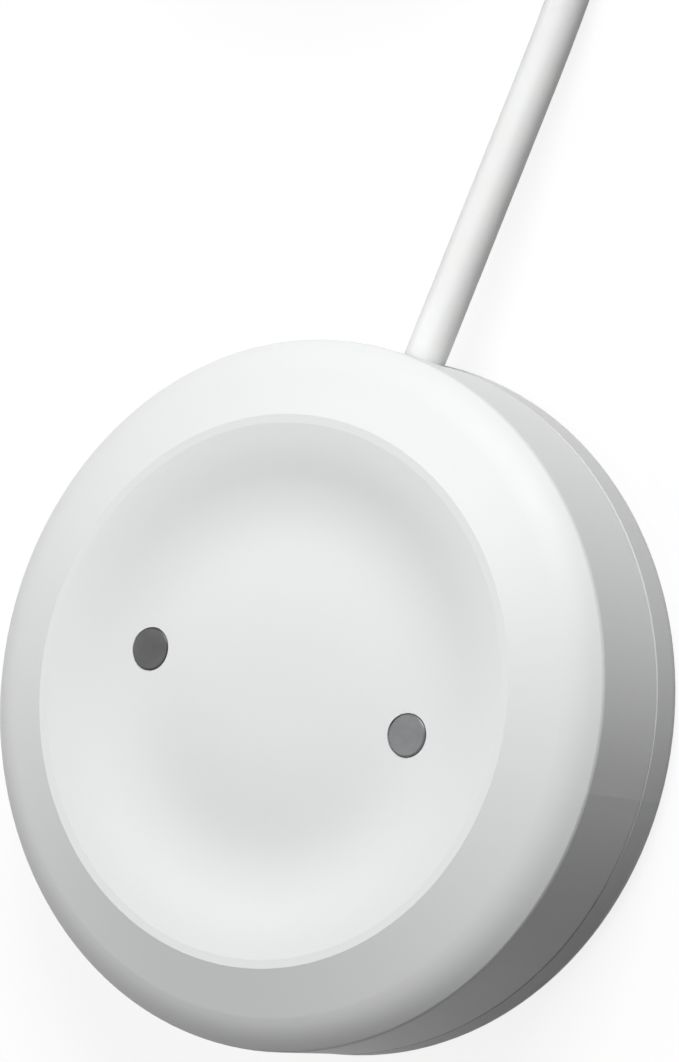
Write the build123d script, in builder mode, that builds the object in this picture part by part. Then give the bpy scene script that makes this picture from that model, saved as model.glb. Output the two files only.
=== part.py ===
from build123d import *
from math import asin, cos, pi, radians, sin, sqrt, tan
import os

# Wired water leak sensor: a round puck with two metal contacts in a shallow dish, and a cord with a
# two-pole plug. Millimetres. The origin is the middle of the flat back, +Z points out of the sensing
# face, +Y is the side where the cord leaves, and the contacts stand on the X axis.

# Puck outline
puck_radius = 25.0  # outer front corner
puck_height = 14.6  # land round the dish
shoulder_drop = 3.25  # outer front corner below the land
seam_height = 3.7  # parting line between housing and cover
side_draft = 1.7  # degrees
corner_radius = 0.4
back_edge_radius = 1.5
seam_chamfer = 0.12

# Bevel and land
land_radius = 19.35  # outer edge of the land
land_width = 0.6
bevel_slope = 24.0  # degrees
bevel_straight_share = 0.593  # of its width, before it curves over

# Dish
valley_radius = 11.65
dish_depth = 0.85
dome_rise = 0.2
steepest_radius = 15.6
steepest_slope = 12.5  # degrees

# Walls of the two mouldings
skin = 1.8  # under the dish
bevel_skin = 2.2  # under the bevel, measured upright
side_wall = 2.0
lip_wall = 0.75  # outer lip that hides the seal
cover_floor = 2.0
spigot_wall = 1.6
spigot_height = 1.4  # above the parting line
spigot_clearance = 0.2
overrun = 1.0  # cuts run this far past a face

# Screws, one size for the cover and a smaller one inside
cover_screw_count = 3
cover_screw_ring_radius = 20.0
cover_screw_angle = 30.0  # degrees, clear of the cord
cover_screw_radius = 1.0
cover_screw_length = 8.0  # below the head
cover_head_radius = 2.1
cover_head_height = 1.35
cover_seat_height = 1.5  # above the flat back
cover_boss_radius = 2.8
cover_boss_clearance = 0.25
small_screw_radius = 0.75
small_screw_length = 4.0  # below the head
small_head_radius = 1.7
small_head_height = 1.2
screw_clearance = 0.05
pilot_extra = 0.6  # hole beyond the end of its screw
head_clearance = 0.2
recess_width = 0.5
recess_depth = 0.6
recess_share = 0.62  # of the head's diameter

# Seal between housing and cover
seal_thickness = 0.8
seal_width = 0.85
seal_clearance = 0.05

# Sensing contacts, their seals and nuts
contact_spacing = 22.35
contact_radius = 1.5
contact_gap = 0.12
contact_proud = 0.05
contact_edge = 0.1
contact_land = 2.6  # plain end, down to its seal
contact_body_radius = 2.45
contact_body_clearance = 0.15
contact_tail_radius = 1.0
contact_tail_extra = 0.2  # beyond its nut
contact_boss_radius = 3.7
contact_boss_depth = 2.55  # below the seal step
ring_section = 0.9
ring_clearance = 0.02
washer_radius = 2.2
washer_thickness = 0.4
nut_flats = 4.0
nut_thickness = 1.6
nut_clearance = 0.05

# Circuit board
board_radius = 16.8
board_thickness = 1.2
board_rise_share = 0.3  # of the clear height inside, up to its underside
board_hole_clearance = 0.1
board_screw_ring_radius = 13.0
board_screw_angles = (40.0, 140.0, 270.0)  # degrees
board_boss_radius = 2.1
bay_width = 14.8
bay_start = 6.5

# Cord, its port and bush
cord_radius = 1.5
port_height_share = 0.42  # of the side wall of the housing
port_gap = 0.25
port_boss_radius = 3.7
bush_depth = 1.2  # behind the outer face of the wall
bush_length = 5.0
bush_radius = 2.25
bush_root_radius = 2.05
bush_rib_width = 0.9
bush_rib_count = 3
bush_clearance = 0.05
inner_bend_radius = 15.0
inner_bend_depth = 8.0  # behind the outer face of the wall
inner_cord_clearance = 2.0  # below the ceiling
jacket_end = 7.5

# Cord clamp
clamp_place = 11.5
clamp_length = 13.2
clamp_width = 4.0
clamp_thickness = 1.2
clamp_screw_spacing = 9.2
clamp_boss_radius = 2.0
saddle_depth = 0.4

# Wire connector
header_place = -5.5
header_width = 6.6
header_length = 6.0
header_height_share = 0.42  # of the clear height inside
header_wall = 0.6
header_floor = 0.9
connector_length = 6.0
connector_clearance = 0.05
pin_pitch = 2.5
pin_width = 0.5
pin_length = 3.6
pin_clearance = 0.02
wire_radius = 0.5
wire_spacing = 1.3  # where both leave the jacket
wire_insert = 1.6
wire_clearance = 0.03
wire_straight = 2.2

# Parts soldered to the board
resistor_place = (6.8, -6.6)
resistor_radius = 1.1
resistor_waist = 0.15
resistor_cap_length = 1.4
resistor_length = 6.0
resistor_rise = 0.3
resistor_span = 9.0
lead_radius = 0.3
lead_bend_radius = 0.7
lead_below = 0.9
suppressor_place = (-6.8, -6.6)
suppressor_width = 3.6
suppressor_length = 4.3
suppressor_height = 2.2
suppressor_chamfer = 0.4
tab_width = 2.0
tab_length = 0.5
tab_height = 0.3
chip_place = (5.4, 2.4)
chip_width = 1.25
chip_length = 2.0
chip_height = 1.0
chip_edge = 0.15

# Free cord
arc_share = 0.45  # part of the shorter run that a bend takes
run_route = ((0.0, 52.5, 1.5), (0.6, 66.5, 1.5))
coil_centre = (-19.85, 80.77)
coil_turn = -6.0  # degrees
coil_inner_radius = 13.2
coil_pitch = 3.45
coil_end_ring = 5
coil_outer_ring = 4
gap_step = 0.75
lead_route = (
    (-0.07, 93.17, 11.85),
    (1.15, 104.74, 7.5),
    (5.65, 110.18, 4.7),
    (12.41, 112.22, 2.6),
    (19.18, 110.18, 2.4),
    (23.68, 104.74, 4.2),
)
plug_place = (24.41, 97.78, 4.2)
plug_turn = 6.0  # degrees, from the -Y direction towards +X

# Two-pole plug
relief_length = 10.0
relief_start_radius = 2.0
relief_end_radius = 2.9
relief_groove_count = 4
relief_groove_width = 0.8
relief_groove_depth = 0.35
relief_bare_share = 0.25  # of its length, before the first groove
grip_radius = 4.2
grip_length = 17.0
grip_neck_radius = 3.3
grip_edge = 0.6
grip_band_count = 5
grip_band_width = 0.7
grip_band_depth = 0.25
collar_radius = 2.6
collar_length = 1.0
barrel_radius = 1.75
sleeve_length = 9.4
insulator_length = 0.6
tip_length = 3.4
tip_neck_radius = 1.15
tip_bulge_radius = 1.65
tip_end_radius = 0.6
tip_neck_share = 0.3
tip_bulge_share = 0.55

# Places that follow from the sizes above
shoulder_height = puck_height - shoulder_drop
bevel_break_radius = land_radius + bevel_straight_share * (puck_radius - land_radius)
valley_height = puck_height - dish_depth
dome_height = valley_height + dome_rise
seam_radius = puck_radius - (shoulder_height - seam_height) * tan(radians(side_draft))
wall_radius = seam_radius - side_wall
lip_radius = seam_radius - lip_wall
cap_ceiling = valley_height - skin
clear_height = cap_ceiling - cover_floor
contact_face = valley_height + contact_proud
seal_step = contact_face - contact_land
body_top = seal_step - ring_section
contact_boss_foot = seal_step - contact_boss_depth
contact_tail_length = board_thickness + washer_thickness + nut_thickness + contact_tail_extra
board_foot = cover_floor + board_rise_share * clear_height
board_top = board_foot + board_thickness
header_height = header_height_share * clear_height
connector_height = header_height - 2 * (header_wall + connector_clearance)
connector_width = header_width - 2 * (header_wall + connector_clearance)
port_height = seam_height + port_height_share * (shoulder_height - seam_height)
port_radius = puck_radius - (shoulder_height - port_height) * tan(radians(side_draft))
inner_cord_height = cap_ceiling - inner_cord_clearance - cord_radius
cord_slope = asin((inner_cord_height - port_height) / inner_bend_depth)
port_plane = Plane(
    origin=(0, port_radius, port_height),
    x_dir=(1, 0, 0),
    z_dir=(0, cos(cord_slope), -sin(cord_slope)),
)
port_face = port_plane.offset(-bush_depth)
inner_bend = port_plane.offset(-inner_bend_depth).origin
strap_top = inner_bend.Z - cord_radius + saddle_depth
contact_places = [(side * contact_spacing / 2, 0) for side in (-1, 1)]
clamp_places = [(side * clamp_screw_spacing / 2, clamp_place) for side in (-1, 1)]
board_screw_places = [
    (board_screw_ring_radius * cos(radians(angle)), board_screw_ring_radius * sin(radians(angle)))
    for angle in board_screw_angles
]
resistor_ends = [(resistor_place[0], resistor_place[1] + end * resistor_span / 2) for end in (-1, 1)]
connector_axis = board_top + header_height / 2
connector_back = header_place - header_length / 2 + header_floor + connector_length

os.makedirs("parts", exist_ok=True)


def save(part, name):
    """Labels a finished piece and writes it under its own name."""
    part.label = name
    export_step(part, f"parts/{name}.step")


def screws(places, seat_height, head_radius, head_height, screw_radius, screw_length):
    """Screws driven upwards, with their heads seated below the given height."""
    with BuildPart() as group:
        for place in places:
            face = Plane(origin=(*place, seat_height - head_height), z_dir=(0, 0, -1))
            with BuildSketch(face):
                Circle(head_radius)
            extrude(amount=-head_height)
            with BuildSketch(face.offset(-head_height)):
                Circle(screw_radius)
            extrude(amount=-screw_length)
            with BuildSketch(face):
                Rectangle(2 * head_radius * recess_share, recess_width)
                Rectangle(recess_width, 2 * head_radius * recess_share)
            extrude(amount=-recess_depth, mode=Mode.SUBTRACT)
    return group.part


def bend_radii(name, points):
    """The largest radius that each corner's two runs allow, printed with the turns."""
    radii = []
    for before, corner, after in zip(points, points[1:], points[2:]):
        turn = (corner - before).get_angle(after - corner)
        shorter = min((corner - before).length, (after - corner).length)
        radii.append(arc_share * shorter / tan(radians(turn) / 2))
        print(name, "turn", round(turn, 1), "radius", round(radii[-1], 1))
    return radii


def tube(name, points, radii, radius):
    """A round tube along straight runs joined by tangent arcs."""
    with BuildPart() as piece:
        with BuildLine() as route:
            if radii:
                FilletPolyline(*points, radius=radii)
            else:
                Polyline(*points)
        with BuildSketch(Plane(origin=points[0], z_dir=points[1] - points[0])):
            Circle(radius)
        sweep()
    length = route.wire().length
    volume_share = piece.part.volume / (pi * radius**2 * length)
    print(name, "length", round(length, 1), "volume share", round(volume_share, 4))
    return piece.part


# Housing: one moulding, its inside taken out as one cavity that leaves the bosses standing
cover_screw_places = PolarLocations(cover_screw_ring_radius, cover_screw_count, cover_screw_angle)

with BuildPart() as cavity:
    with BuildSketch(Plane.XZ):
        with BuildLine():
            bevel_line_drop = (wall_radius - land_radius) * tan(radians(bevel_slope))
            Polyline(
                (0, seam_height),
                (lip_radius, seam_height),
                (lip_radius, seam_height + seal_thickness),
                (wall_radius, seam_height + seal_thickness),
                (wall_radius, puck_height - bevel_skin - bevel_line_drop),
                (land_radius, puck_height - bevel_skin),
                (valley_radius, cap_ceiling),
                (0, cap_ceiling),
                (0, seam_height),
            )
        make_face()
    revolve(axis=Axis.Z)
    with BuildSketch(Plane.XY.offset(seam_height)):
        with cover_screw_places:
            Circle(cover_boss_radius)
    extrude(amount=puck_height, mode=Mode.SUBTRACT)
    with BuildSketch(Plane.XY.offset(board_top)):
        with Locations(*board_screw_places):
            Circle(board_boss_radius)
    extrude(amount=puck_height, mode=Mode.SUBTRACT)
    with BuildSketch(Plane.XY.offset(contact_boss_foot)):
        with Locations(*contact_places):
            Circle(contact_boss_radius)
    extrude(amount=puck_height, mode=Mode.SUBTRACT)
    with BuildSketch(Plane.XY.offset(strap_top)):
        with Locations(*clamp_places):
            Circle(clamp_boss_radius)
    extrude(amount=puck_height, mode=Mode.SUBTRACT)
    with BuildSketch(Plane.XY.offset(inner_bend.Z + cord_radius)):
        with Locations((0, clamp_place)):
            Rectangle(clamp_screw_spacing, clamp_width)
    extrude(amount=puck_height, mode=Mode.SUBTRACT)
    with BuildSketch(port_face):
        Circle(port_boss_radius)
    extrude(amount=-bush_length, mode=Mode.SUBTRACT)
    with BuildSketch(Plane.XY.offset(seam_height)):
        Circle(lip_radius)
        Circle(wall_radius, mode=Mode.SUBTRACT)
    extrude(amount=seal_thickness)

with BuildPart() as sensing_housing:
    with BuildSketch(Plane.XZ):
        with BuildLine():
            dome = TangentArc(
                (0, dome_height), (valley_radius / 2, valley_height + dome_rise / 2), tangent=(1, 0)
            )
            valley = TangentArc(dome @ 1, (valley_radius, valley_height), tangent=dome % 1)
            foot_rise = (steepest_radius - valley_radius) * tan(radians(steepest_slope) / 2)
            foot = TangentArc(valley @ 1, (steepest_radius, valley_height + foot_rise), tangent=(1, 0))
            crown = TangentArc(
                foot @ 1, (land_radius - land_width, puck_height), tangent=foot % 1
            )
            land = Line(crown @ 1, (land_radius, puck_height))
            bevel_drop = (bevel_break_radius - land_radius) * tan(radians(bevel_slope))
            bevel = Line(land @ 1, (bevel_break_radius, puck_height - bevel_drop))
            shoulder = TangentArc(bevel @ 1, (puck_radius, shoulder_height), tangent=bevel % 1)
            Polyline(shoulder @ 1, (seam_radius, seam_height), (0, seam_height), (0, dome_height))
        make_face()
    revolve(axis=Axis.Z)
    rims = sensing_housing.edges().filter_by(Plane.XY)
    fillet(rims.sort_by(SortBy.RADIUS)[-1], corner_radius)
    bottom_edge = sensing_housing.edges().group_by(Axis.Z)[0].sort_by(SortBy.RADIUS)[-1]
    chamfer(bottom_edge, seam_chamfer)
    add(cavity.part, mode=Mode.SUBTRACT)
    with BuildSketch(Plane.XY.offset(seal_step)):
        with Locations(*contact_places):
            Circle(contact_radius + contact_gap)
    extrude(amount=puck_height, mode=Mode.SUBTRACT)
    with BuildSketch(Plane.XY.offset(seal_step)):
        with Locations(*contact_places):
            Circle(contact_body_radius + contact_body_clearance)
    extrude(amount=contact_boss_foot - seal_step - overrun, mode=Mode.SUBTRACT)
    with BuildSketch(Plane.XY.offset(cover_seat_height)):
        with cover_screw_places:
            Circle(cover_screw_radius + screw_clearance)
    extrude(amount=cover_screw_length + pilot_extra, mode=Mode.SUBTRACT)
    with BuildSketch(Plane.XY.offset(board_foot)):
        with Locations(*board_screw_places):
            Circle(small_screw_radius + screw_clearance)
    extrude(amount=small_screw_length + pilot_extra, mode=Mode.SUBTRACT)
    with BuildSketch(Plane.XY.offset(strap_top - clamp_thickness)):
        with Locations(*clamp_places):
            Circle(small_screw_radius + screw_clearance)
    extrude(amount=small_screw_length + pilot_extra, mode=Mode.SUBTRACT)
    with BuildSketch(port_face):
        Circle(bush_radius + bush_clearance)
    extrude(amount=-bush_length - overrun, mode=Mode.SUBTRACT)
    with BuildSketch(port_face):
        Circle(cord_radius + port_gap)
    extrude(amount=bush_depth + overrun, mode=Mode.SUBTRACT)
save(sensing_housing.part, "sensing_housing")

# Back cover: a flat disc with a band that continues the side wall, and a spigot inside the housing
with BuildPart() as back_cover:
    with BuildSketch(Plane.XZ):
        with BuildLine():
            spigot_radius = wall_radius - spigot_clearance
            Polyline(
                (0, 0),
                (seam_radius, 0),
                (seam_radius, seam_height),
                (spigot_radius, seam_height),
                (spigot_radius, seam_height + spigot_height),
                (spigot_radius - spigot_wall, seam_height + spigot_height),
                (spigot_radius - spigot_wall, cover_floor),
                (0, cover_floor),
                (0, 0),
            )
        make_face()
    revolve(axis=Axis.Z)
    outer_edges = back_cover.edges().filter_by(GeomType.CIRCLE).group_by(SortBy.RADIUS)[-1]
    fillet(outer_edges.sort_by(Axis.Z)[0], back_edge_radius)
    chamfer(outer_edges.sort_by(Axis.Z)[-1], seam_chamfer)
    with BuildSketch(Plane.XY.offset(seam_height)):
        with cover_screw_places:
            Circle(cover_boss_radius + cover_boss_clearance)
    extrude(amount=spigot_height, mode=Mode.SUBTRACT)
    with BuildSketch(Plane.XY.offset(cover_floor)):
        with cover_screw_places:
            Circle(cover_boss_radius)
    extrude(amount=seam_height - cover_floor)
    with BuildSketch(port_face):
        Circle(port_boss_radius + cover_boss_clearance)
    extrude(amount=-bush_length, mode=Mode.SUBTRACT)
    with BuildSketch(Plane.XY):
        with cover_screw_places:
            Circle(cover_head_radius + head_clearance)
    extrude(amount=cover_seat_height, mode=Mode.SUBTRACT)
    with BuildSketch(Plane.XY):
        with cover_screw_places:
            Circle(cover_screw_radius + head_clearance)
    extrude(amount=seam_height, mode=Mode.SUBTRACT)
save(back_cover.part, "back_cover")

# Flat seal between the band of the cover and the wall of the housing
with BuildPart() as cover_seal:
    with BuildSketch(Plane.XY.offset(seam_height)):
        Circle(lip_radius - seal_clearance)
        Circle(lip_radius - seal_clearance - seal_width, mode=Mode.SUBTRACT)
    extrude(amount=seal_thickness)
save(cover_seal.part, "cover_seal")

# Screws of cover, board and cord clamp
cover_screw_centres = [(spot.position.X, spot.position.Y) for spot in cover_screw_places]
cover_head = (cover_head_radius, cover_head_height)
cover_shank = (cover_screw_radius, cover_screw_length)
small_head = (small_head_radius, small_head_height)
small_shank = (small_screw_radius, small_screw_length)
save(screws(cover_screw_centres, cover_seat_height, *cover_head, *cover_shank), "cover_screws")
save(screws(board_screw_places, board_foot, *small_head, *small_shank), "board_screws")
save(screws(clamp_places, strap_top - clamp_thickness, *small_head, *small_shank), "clamp_screws")

# Sensing contacts: turned pins, each with a seal ring above its body
for side, place in zip(("left", "right"), contact_places):
    with BuildPart() as contact:
        with BuildSketch(Plane(origin=(*place, seal_step))):
            Circle(contact_radius)
        extrude(amount=contact_land)
        chamfer(contact.edges().group_by(Axis.Z)[-1], contact_edge)
        with BuildSketch(Plane(origin=(*place, seal_step))):
            Circle(contact_radius)
        extrude(amount=-ring_section)
        with BuildSketch(Plane(origin=(*place, body_top))):
            Circle(contact_body_radius)
        extrude(amount=board_top - body_top)
        with BuildSketch(Plane(origin=(*place, board_top))):
            Circle(contact_tail_radius)
        extrude(amount=-contact_tail_length)
    save(contact.part, f"contact_{side}")

    with BuildPart() as contact_seal:
        with Locations((*place, seal_step - ring_section / 2)):
            Torus(contact_radius + ring_clearance + ring_section / 2, ring_section / 2)
    save(contact_seal.part, f"contact_seal_{side}")

# Spring washers and nuts under the board
with BuildPart() as contact_washers:
    with BuildSketch(Plane.XY.offset(board_foot - washer_thickness)):
        with Locations(*contact_places):
            Circle(washer_radius)
            Circle(contact_tail_radius + nut_clearance, mode=Mode.SUBTRACT)
    extrude(amount=washer_thickness)
save(contact_washers.part, "contact_washers")

with BuildPart() as contact_nuts:
    with BuildSketch(Plane.XY.offset(board_foot - washer_thickness - nut_thickness)):
        with Locations(*contact_places):
            RegularPolygon(nut_flats / 2, 6, major_radius=False)
            Circle(contact_tail_radius + nut_clearance, mode=Mode.SUBTRACT)
    extrude(amount=nut_thickness)
save(contact_nuts.part, "contact_nuts")

# Circuit board, with a bay for the cord clamp
with BuildPart() as circuit_board:
    with BuildSketch(Plane.XY.offset(board_foot)):
        Circle(board_radius)
        with Locations((0, bay_start + board_radius / 2)):
            Rectangle(bay_width, board_radius, mode=Mode.SUBTRACT)
        with Locations(*contact_places):
            Circle(contact_tail_radius + board_hole_clearance, mode=Mode.SUBTRACT)
        with Locations(*board_screw_places):
            Circle(small_screw_radius + board_hole_clearance, mode=Mode.SUBTRACT)
        with Locations(*resistor_ends):
            Circle(lead_radius + board_hole_clearance, mode=Mode.SUBTRACT)
    extrude(amount=board_thickness)
save(circuit_board.part, "circuit_board")

# Line resistor: a waisted body on two wire leads that go down through the board
resistor_axis = board_top + resistor_rise + resistor_radius
lead_ends = [Vector(*end, board_foot - lead_below) for end in resistor_ends]
with BuildPart() as line_resistor:
    with BuildLine():
        FilletPolyline(
            lead_ends[0],
            Vector(lead_ends[0].X, lead_ends[0].Y, resistor_axis),
            Vector(lead_ends[1].X, lead_ends[1].Y, resistor_axis),
            lead_ends[1],
            radius=lead_bend_radius,
        )
    with BuildSketch(Plane(origin=lead_ends[0])):
        Circle(lead_radius)
    sweep()
    with BuildSketch(Plane(origin=(resistor_place[0], 0, resistor_axis), x_dir=(0, 1, 0), z_dir=(1, 0, 0))):
        with BuildLine():
            half = resistor_length / 2
            waist = half - resistor_cap_length
            Polyline(
                (resistor_place[1] - half, 0),
                (resistor_place[1] - half, resistor_radius),
                (resistor_place[1] - waist, resistor_radius),
                (resistor_place[1] - waist, resistor_radius - resistor_waist),
                (resistor_place[1] + waist, resistor_radius - resistor_waist),
                (resistor_place[1] + waist, resistor_radius),
                (resistor_place[1] + half, resistor_radius),
                (resistor_place[1] + half, 0),
                close=True,
            )
        make_face()
    revolve(axis=Axis((resistor_place[0], 0, resistor_axis), (0, 1, 0)))
save(line_resistor.part, "line_resistor")

# Surge suppressor: a moulded block on two solder tabs
with BuildPart() as surge_suppressor:
    with BuildSketch(Plane.XY.offset(board_top)):
        with Locations(suppressor_place):
            Rectangle(suppressor_width, suppressor_length)
    extrude(amount=suppressor_height)
    chamfer(surge_suppressor.edges().group_by(Axis.Z)[-1], suppressor_chamfer)
    with BuildSketch(Plane.XY.offset(board_top)):
        with Locations(suppressor_place):
            Rectangle(tab_width, suppressor_length + 2 * tab_length)
    extrude(amount=tab_height)
save(surge_suppressor.part, "surge_suppressor")

# Filter capacitors: one chip beside each contact
with BuildPart() as filter_capacitors:
    with BuildSketch(Plane.XY.offset(board_top)):
        with Locations(chip_place, (-chip_place[0], chip_place[1])):
            RectangleRounded(chip_width, chip_length, chip_edge)
    extrude(amount=chip_height)
save(filter_capacitors.part, "filter_capacitors")

# Wire connector: a header with two pins on the board, and the plug half on the wires
pin_places = [(side * pin_pitch / 2, connector_axis) for side in (-1, 1)]
header_back = header_place - header_length / 2
header_face = Plane(origin=(0, header_back, 0), x_dir=(-1, 0, 0), z_dir=(0, 1, 0))
with BuildPart() as wire_header:
    with BuildSketch(header_face):
        with Locations((0, connector_axis)):
            Rectangle(header_width, header_height)
    extrude(amount=header_length)
    with BuildSketch(header_face.offset(header_floor)):
        with Locations((0, connector_axis)):
            Rectangle(header_width - 2 * header_wall, header_height - 2 * header_wall)
    extrude(amount=header_length, mode=Mode.SUBTRACT)
    with BuildSketch(header_face):
        with Locations(*pin_places):
            Rectangle(pin_width + 2 * pin_clearance, pin_width + 2 * pin_clearance)
    extrude(amount=header_floor, mode=Mode.SUBTRACT)
save(wire_header.part, "wire_header")

with BuildPart() as header_pins:
    with BuildSketch(header_face):
        with Locations(*pin_places):
            Rectangle(pin_width, pin_width)
    extrude(amount=pin_length)
save(header_pins.part, "header_pins")

with BuildPart() as wire_plug:
    with BuildSketch(header_face.offset(header_floor)):
        with Locations((0, connector_axis)):
            Rectangle(connector_width, connector_height)
        with Locations(*pin_places):
            Circle(wire_radius + wire_clearance, mode=Mode.SUBTRACT)
    extrude(amount=connector_length)
save(wire_plug.part, "wire_plug")

# Two insulated conductors, from the connector to the end of the jacket
for side, name in zip((-1, 1), ("wire_red", "wire_black")):
    wire_points = [
        Vector(side * pin_pitch / 2, connector_back - wire_insert, connector_axis),
        Vector(side * pin_pitch / 2, connector_back + wire_straight, connector_axis),
        Vector(side * wire_spacing / 2, jacket_end - wire_straight, inner_bend.Z),
        Vector(side * wire_spacing / 2, jacket_end, inner_bend.Z),
    ]
    save(tube(name, wire_points, bend_radii(name, wire_points), wire_radius), name)

# Jacketed cord inside the housing, from the conductors to the outer end of its bush
inner_points = [Vector(0, jacket_end, inner_bend.Z), inner_bend, port_face.origin]
save(tube("cord_inner", inner_points, [inner_bend_radius], cord_radius), "cord_inner")

# Rubber bush with ribs that grip the bore of the port
with BuildPart() as cord_bush:
    with BuildSketch(port_face):
        Circle(bush_root_radius)
    extrude(amount=-bush_length)
    rib_gap = (bush_length - bush_rib_count * bush_rib_width) / (bush_rib_count - 1)
    for rib in range(bush_rib_count):
        with BuildSketch(port_face.offset(-rib * (bush_rib_width + rib_gap))):
            Circle(bush_radius)
        extrude(amount=-bush_rib_width)
    with BuildSketch(port_face):
        Circle(cord_radius + bush_clearance)
    extrude(amount=-bush_length, mode=Mode.SUBTRACT)
save(cord_bush.part, "cord_bush")

# Saddle that holds the cord up against its rib
with BuildPart() as cord_clamp:
    with BuildSketch(Plane.XY.offset(strap_top)):
        with Locations((0, clamp_place)):
            SlotOverall(clamp_length, clamp_width)
        with Locations(*clamp_places):
            Circle(small_screw_radius + board_hole_clearance, mode=Mode.SUBTRACT)
    extrude(amount=-clamp_thickness)
    with BuildSketch(Plane(origin=(0, clamp_place - clamp_width / 2, inner_bend.Z), z_dir=(0, 1, 0))):
        Circle(cord_radius)
    extrude(amount=clamp_width, mode=Mode.SUBTRACT)
save(cord_clamp.part, "cord_clamp")

# Coil: one tube that spirals in and out through four layers, climbing where it reverses
coil_plane = Plane(
    origin=(*coil_centre, cord_radius),
    x_dir=(cos(radians(coil_turn)), sin(radians(coil_turn)), 0),
    z_dir=(0, 0, 1),
)
ring_radii = [coil_inner_radius + ring * coil_pitch / 2 for ring in range(coil_end_ring + 1)]
half_turns = (
    [(ring, False) for ring in range(coil_end_ring, 0, -1)]
    + [(0, True)]
    + [(ring, False) for ring in range(1, coil_outer_ring)]
    + [(coil_outer_ring, True)]
    + [(ring, False) for ring in range(coil_outer_ring - 1, 0, -1)]
    + [(0, True)]
    + [(ring, False) for ring in range(1, coil_outer_ring + 1)]
)
across, along, up = coil_plane.x_dir, coil_plane.y_dir, coil_plane.z_dir
tail = 2 * cord_radius
coil_start = coil_plane.origin + across * ring_radii[coil_end_ring] - along * tail
with BuildPart() as cord_coil:
    with BuildLine() as coil_line:
        last = Line(coil_start, coil_start + along * tail)
        heading = 1
        for ring, climbs in half_turns:
            radius = ring_radii[ring]
            start = last @ 1
            centre = start - across * heading * radius
            end = centre - across * heading * radius
            if climbs:
                middle = centre + along * heading * sqrt(radius**2 + (coil_pitch / 2) ** 2)
                quarter = TangentArc(start, middle + up * coil_pitch / 2, tangent=along * heading)
                last = TangentArc(quarter @ 1, end + up * coil_pitch, tangent=quarter % 1)
            else:
                last = ThreePointArc(start, centre + along * heading * radius, end)
            heading = -heading
        last = Line(last @ 1, (last @ 1) + along * heading * tail)
        coil_end = last @ 1
        coil_heading = along * heading
    with BuildSketch(Plane(origin=coil_start, z_dir=along)):
        Circle(cord_radius)
    sweep()
save(cord_coil.part, "cord_coil")

coil_wire = coil_line.wire()
coil_length = coil_wire.length
steps = int(coil_length / gap_step)
coil_points = [coil_wire @ (step / steps) for step in range(steps + 1)]
apart = int(2 * pi * cord_radius / gap_step) + 1
least = min(
    (coil_points[first] - coil_points[second]).length
    for first in range(steps + 1)
    for second in range(first + apart, steps + 1)
)
coil_ideal = pi * cord_radius**2 * coil_length
print("cord_coil turns", len(half_turns) / 2, "length", round(coil_length, 1))
print("cord_coil least gap", round(least - 2 * cord_radius, 3))
print("cord_coil volume share", round(cord_coil.part.volume / coil_ideal, 4))

# Free cord: from the port down to the floor and on to the coil, then from the coil to the plug
run_points = [port_face.origin, *(Vector(*point) for point in run_route), coil_start]
save(tube("cord_run", run_points, bend_radii("cord_run", run_points), cord_radius), "cord_run")
lead_points = [coil_end, *(Vector(*point) for point in lead_route), Vector(*plug_place)]
save(tube("cord_lead", lead_points, bend_radii("cord_lead", lead_points), cord_radius), "cord_lead")
print("cord ends", port_face.origin, port_face.z_dir, coil_start, coil_end, coil_heading)

# Plug: bend relief, grip, sleeve, insulator and tip, turned about one axis
plug_plane = Plane(
    origin=plug_place,
    x_dir=(sin(radians(plug_turn)), -cos(radians(plug_turn)), 0),
    z_dir=(cos(radians(plug_turn)), sin(radians(plug_turn)), 0),
)
plug_axis = Axis(plug_place, plug_plane.x_dir)
grip_start = relief_length
grip_end = grip_start + grip_length
sleeve_start = grip_end + collar_length
sleeve_end = sleeve_start + sleeve_length
tip_start = sleeve_end + insulator_length
tip_end = tip_start + tip_length

with BuildPart() as plug_relief:
    with BuildSketch(plug_plane):
        with BuildLine():
            Polyline(
                (0, 0),
                (0, relief_start_radius),
                (relief_length, relief_end_radius),
                (relief_length, 0),
                close=True,
            )
        make_face()
        groove_pitch = relief_length * (1 - relief_bare_share) / relief_groove_count
        for groove in range(relief_groove_count):
            place = relief_length * relief_bare_share + groove * groove_pitch
            reach = relief_start_radius + (relief_end_radius - relief_start_radius) * place / relief_length
            with Locations((place + relief_groove_width / 2, reach)):
                Rectangle(relief_groove_width, 2 * relief_groove_depth, mode=Mode.SUBTRACT)
    revolve(axis=plug_axis)
save(plug_relief.part, "plug_relief")

with BuildPart() as plug_grip:
    with BuildSketch(plug_plane):
        with BuildLine():
            Polyline(
                (grip_start, 0),
                (grip_start, grip_neck_radius),
                (grip_start + grip_length / grip_band_count, grip_radius),
                (grip_end, grip_radius),
                (grip_end, 0),
                close=True,
            )
        make_face()
        band_start = grip_start + grip_length / grip_band_count
        band_pitch = (grip_end - band_start) / (grip_band_count + 1)
        for band in range(grip_band_count):
            with Locations((band_start + (band + 1) * band_pitch, grip_radius)):
                Rectangle(grip_band_width, 2 * grip_band_depth, mode=Mode.SUBTRACT)
    revolve(axis=plug_axis)
    fillet(plug_grip.faces().sort_by(plug_axis)[-1].edges(), grip_edge)
save(plug_grip.part, "plug_grip")

with BuildPart() as plug_sleeve:
    with BuildSketch(plug_plane):
        with BuildLine():
            Polyline(
                (grip_end, 0),
                (grip_end, collar_radius),
                (sleeve_start, collar_radius),
                (sleeve_start, barrel_radius),
                (sleeve_end, barrel_radius),
                (sleeve_end, 0),
                close=True,
            )
        make_face()
    revolve(axis=plug_axis)
save(plug_sleeve.part, "plug_sleeve")

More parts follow.
